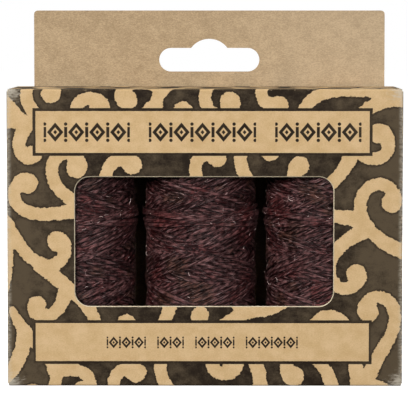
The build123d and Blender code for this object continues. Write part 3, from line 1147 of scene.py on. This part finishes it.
def waxed_thread():
    """Dark burgundy thread: four plies of fine fibres, redder and browner in patches, with painted
    shade on the sides of each strand and painted glints.
    """
    n = Nodes("waxed_thread")
    along, around, patch = n.split(n.attribute("strand"))
    belt = patch > 1.0
    patch = patch - belt
    twist = along * (-1 / PLY_LAY) + around
    slip = n.noise(n.join(along, 5.0), (0.6, 1.0, 1.0), 2.0, 0.5)
    ply = (slip * 1.2 + twist * (2 * math.pi * PLIES)).math("COSINE")
    lie = along * (-1 / FIBRE_LAY) + around
    fibres = n.noise(n.join(along * 0.2, lie * 13.0), (1.0, 1.0, 1.0), 3.0, 0.7)
    slub = n.noise(n.join(along, 0.0), (0.4, 1.0, 1.0), 2.0, 0.6)
    lot = n.noise(n.join(along, 9.0), (0.035, 1.0, 1.0), 2.0, 0.5)
    # The belt's wraps are a little lighter here and redder below: painted light on these proud wraps
    # of the same thread.
    tone = (fibres + slub) * 0.5 + ply * 0.03 + (lot - 0.5) * 0.35 + belt * 0.005
    tone = n.ramp(tone, 0.43, 0.64)
    purple = n.mix(tone, srgb(31, 2, 4), srgb(126, 85, 85))
    red = n.mix(tone, srgb(40, 5, 8), srgb(120, 58, 57))
    brown = n.mix(tone, srgb(30, 9, 3), srgb(118, 78, 62))
    reddish = belt * 0.08 + n.ramp(patch, 0.52, 0.9, 0.0, 0.75)
    colour = n.mix(reddish, purple, red)
    colour = n.mix(n.ramp(patch, 0.38, 0.10, 0.0, 0.7), colour, brown)
    # Painted highlight: pale grey-pink flecks, where the fibre noise is high, stand in for glints on
    # the wax.
    colour = n.mix(n.ramp(fibres, 0.57, 0.69, 0.0, 0.85), colour, srgb(168, 142, 142))
    colour = n.mix(n.ramp(patch, 0.44, 0.10, 0.0, 0.22), colour, srgb(22, 8, 6))
    # Painted shade: the sides of each strand, where it meets its neighbours, are darkened to near
    # black.
    painted_strand_shade = n.ramp(abs(around - 0.5), 0.06, 0.26, 0.0, 0.95)
    colour = n.mix(painted_strand_shade, colour, srgb(18, 4, 3))
    return n.finish(
        Base_Color=colour, Roughness=n.ramp(fibres, 0.3, 0.7, 0.34, 0.58), Specular_IOR_Level=0.28,
        Normal=n.bump(ply * 0.3 + fibres * 1.9, 0.00026, 1.0),
    )


def stray_fibre():
    """Loose fibres in the thread's own dark colour, the thickest of them the palest: a painted glint.
    """
    n = Nodes("stray_fibre")
    # Painted glint: the pale end stands in for light caught on loose fibres.
    pale = n.ramp(n.attribute("glint", "Fac"), 0.0, 1.0)
    colour = n.mix(pale, srgb(112, 72, 72), srgb(240, 214, 208))
    return n.finish(Base_Color=colour, Roughness=0.5)


THREAD, PAPER, FIBRE = waxed_thread(), core_paper(), stray_fibre()

for number, spool in enumerate(("left", "middle", "right")):
    body = f"{spool}_spool"
    core_low, core_high = box_mm(f"{spool}_spool_core")
    thread_low, thread_high = box_mm(f"{spool}_spool_thread")
    axis = (core_low + core_high) / 2 * (1, 1, 0)
    core_radius = (core_high[0] - core_low[0]) / 2
    belt_radius = (thread_high[0] - thread_low[0]) / 2
    low, high = thread_low[2], thread_high[2]

    # Paper tube, with rounded edges
    edge = []
    for r, v, quarter in (
        (core_radius, core_low[2], -90), (core_radius, core_high[2], 0),
        (core_radius - TUBE_WALL, core_high[2], 90), (core_radius - TUBE_WALL, core_low[2], 180),
    ):
        side = 1 if r == core_radius else -1
        end = 1 if v == core_high[2] else -1
        for a in np.radians(np.linspace(quarter, quarter + 90, 4)):
            edge.append((r + SOFT_EDGE * (math.cos(a) - side), v + SOFT_EDGE * (math.sin(a) - end)))
    edge = np.array(edge)
    steps = np.linspace(edge[3, 1], edge[4, 1], TUBE_ROWS + 2)[1:-1]
    outside = np.column_stack([np.full(TUBE_ROWS, core_radius), steps])
    inside = np.column_stack([np.full(TUBE_ROWS, core_radius - TUBE_WALL), steps[::-1]])
    profile = np.concatenate([edge[:4], outside, edge[4:12], inside, edge[12:]])
    points, quads = ring_mesh(profile, TUBE_SIDES)
    tube = new_mesh(f"{spool}_tube", points + axis, quads, [PAPER])
    bend = np.arctan2(points[quads, 1], points[quads, 0])
    wraps = (bend.max(1) - bend.min(1) > 3)[:, None] & (bend < 0)
    bend = np.where(wraps, bend + 2 * math.pi, bend)
    corners = (bend * core_radius, points[quads, 2], np.hypot(points[quads, 0], points[quads, 1]))
    keep_attribute(tube, "tube", "FLOAT_VECTOR", np.stack(corners, -1), "CORNER")
    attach(tube, body)
    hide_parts(f"{spool}_spool_core")

    # Thread
    inner_radius = core_radius + THREAD_GAP
    z, radius, height = wind(THREAD_SEED + number, low, high, inner_radius)
    typical = np.median(height[:, MAP_ENDS:-MAP_ENDS])
    radius = pressed(radius + STACK / 2, z, low, high, inner_radius, belt_radius, typical)
    radius -= THREAD_THICK
    angle = 2 * math.pi * np.arange(len(z)) / MAP_TURN
    spread = np.linspace(0, len(z) - 1, len(z) * STRAND_STEPS // MAP_TURN)
    angle, z, radius = (np.interp(spread, np.arange(len(z)), line) for line in (angle, z, radius))
    points, quads, caps, corner, thread_length = strand_mesh(angle, z, radius)
    print("thread length", spool, thread_length)
    rng = np.random.default_rng(FIBRE_SEED + number)
    belt_start = len(z) - BELT_TURNS * STRAND_STEPS
    patch = blotches(rng, angle, z) * 0.999 + (np.arange(len(z)) > belt_start)
    patch = np.repeat(patch, STRAND_SIDES)
    hair_points, hair_faces, glint = hair_mesh(rng, FIBRES, angle, z, radius)

    # A plain sleeve inside the winding, so that no gap shows the tube. Its faces read as a strand's
    # side, so the painted strand shade makes it nearly black.
    inner, outer = core_radius + SLEEVE[0], core_radius + SLEEVE[1]
    foot, head = low + SLEEVE_END, high - SLEEVE_END
    sleeve = np.array([
        (inner, foot), (outer, foot + SLEEVE_SLOPE), (outer, head - SLEEVE_SLOPE), (inner, head)
    ])
    sleeve_points, sleeve_quads = ring_mesh(sleeve, SLEEVE_SIDES)
    faces = [*quads, *caps, *(sleeve_quads + len(points))]
    points = np.concatenate([points, sleeve_points]) + axis
    wound = new_mesh(f"{spool}_thread", points, faces, [THREAD])
    strand = np.zeros((quads.size + caps.size + sleeve_quads.size, 3))
    strand[:, 0] = number * SPOOL_STEP
    strand[:quads.size, :2] += corner
    strand[:quads.size, 2] = patch[quads.ravel()]
    keep_attribute(wound, "strand", "FLOAT_VECTOR", strand, "CORNER")
    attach(wound, body)
    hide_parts(f"{spool}_spool_thread")
    loose = new_mesh(f"{spool}_fibres", hair_points + axis, hair_faces, [FIBRE])
    keep_attribute(loose, "glint", "FLOAT", glint)
    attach(loose, body)


# ---------------------------------------------------------------- floor, world and lights
def white_floor():
    """Lit by the lamps, with a glow of its own that keeps it white into the distance."""
    n = Nodes("white_floor")
    place = n.node("TexCoord", {}, "Object")
    far = n.node("VectorMath", {0: place}, "Value", operation="LENGTH")
    return n.finish(
        Base_Color=(0.8, 0.8, 0.8, 1), Roughness=0.7, Emission_Color=(1, 1, 1, 1),
        Emission_Strength=n.ramp(far, 0.1, 0.5, 0.8, 1.0),
    )


FLOOR_RADIUS = 6.0                      # in metres
FLOOR_GAP = 0.1 * MM                    # under the carton's base
bpy.ops.mesh.primitive_circle_add(
    vertices=96, radius=FLOOR_RADIUS, fill_type="NGON", location=(0, 0, -FLOOR_GAP)
)
floor = bpy.context.object
floor.name = "floor"
floor.data.materials.append(white_floor())

world = bpy.data.worlds.new("studio")
world.use_nodes = True
bpy.context.scene.world = world
world.node_tree.nodes["Background"].inputs["Color"].default_value = (1, 1, 1, 1)
world.cycles_visibility.diffuse = False
world.cycles_visibility.glossy = False
floor.visible_diffuse = False
floor.visible_glossy = False


def soft_light(name, place, size, power, colour=(1, 1, 1)):
    """A square lamp, aimed at the middle of the carton."""
    data = bpy.data.lights.new(name, "AREA")
    data.shape = "RECTANGLE"
    data.size = data.size_y = size
    data.energy = power
    data.color = colour
    look_at(new_object(name, data), place, (0, 0, 0.05))


soft_light("key", (-0.38, -1.03, 0.38), 0.3, 10.5, (1.0, 0.97, 0.94))
soft_light("fill", (0.5, -1.15, 0.06), 0.7, 8.2, (0.97, 0.985, 1.0))
soft_light("top", (0.0, -0.1, 1.6), 1.2, 11.0)
soft_light("back_left", (-0.9, 1.0, 0.7), 0.7, 12.0)
soft_light("back_right", (0.9, 1.0, 0.7), 0.7, 12.0)

bpy.context.scene.view_settings.view_transform = "Standard"
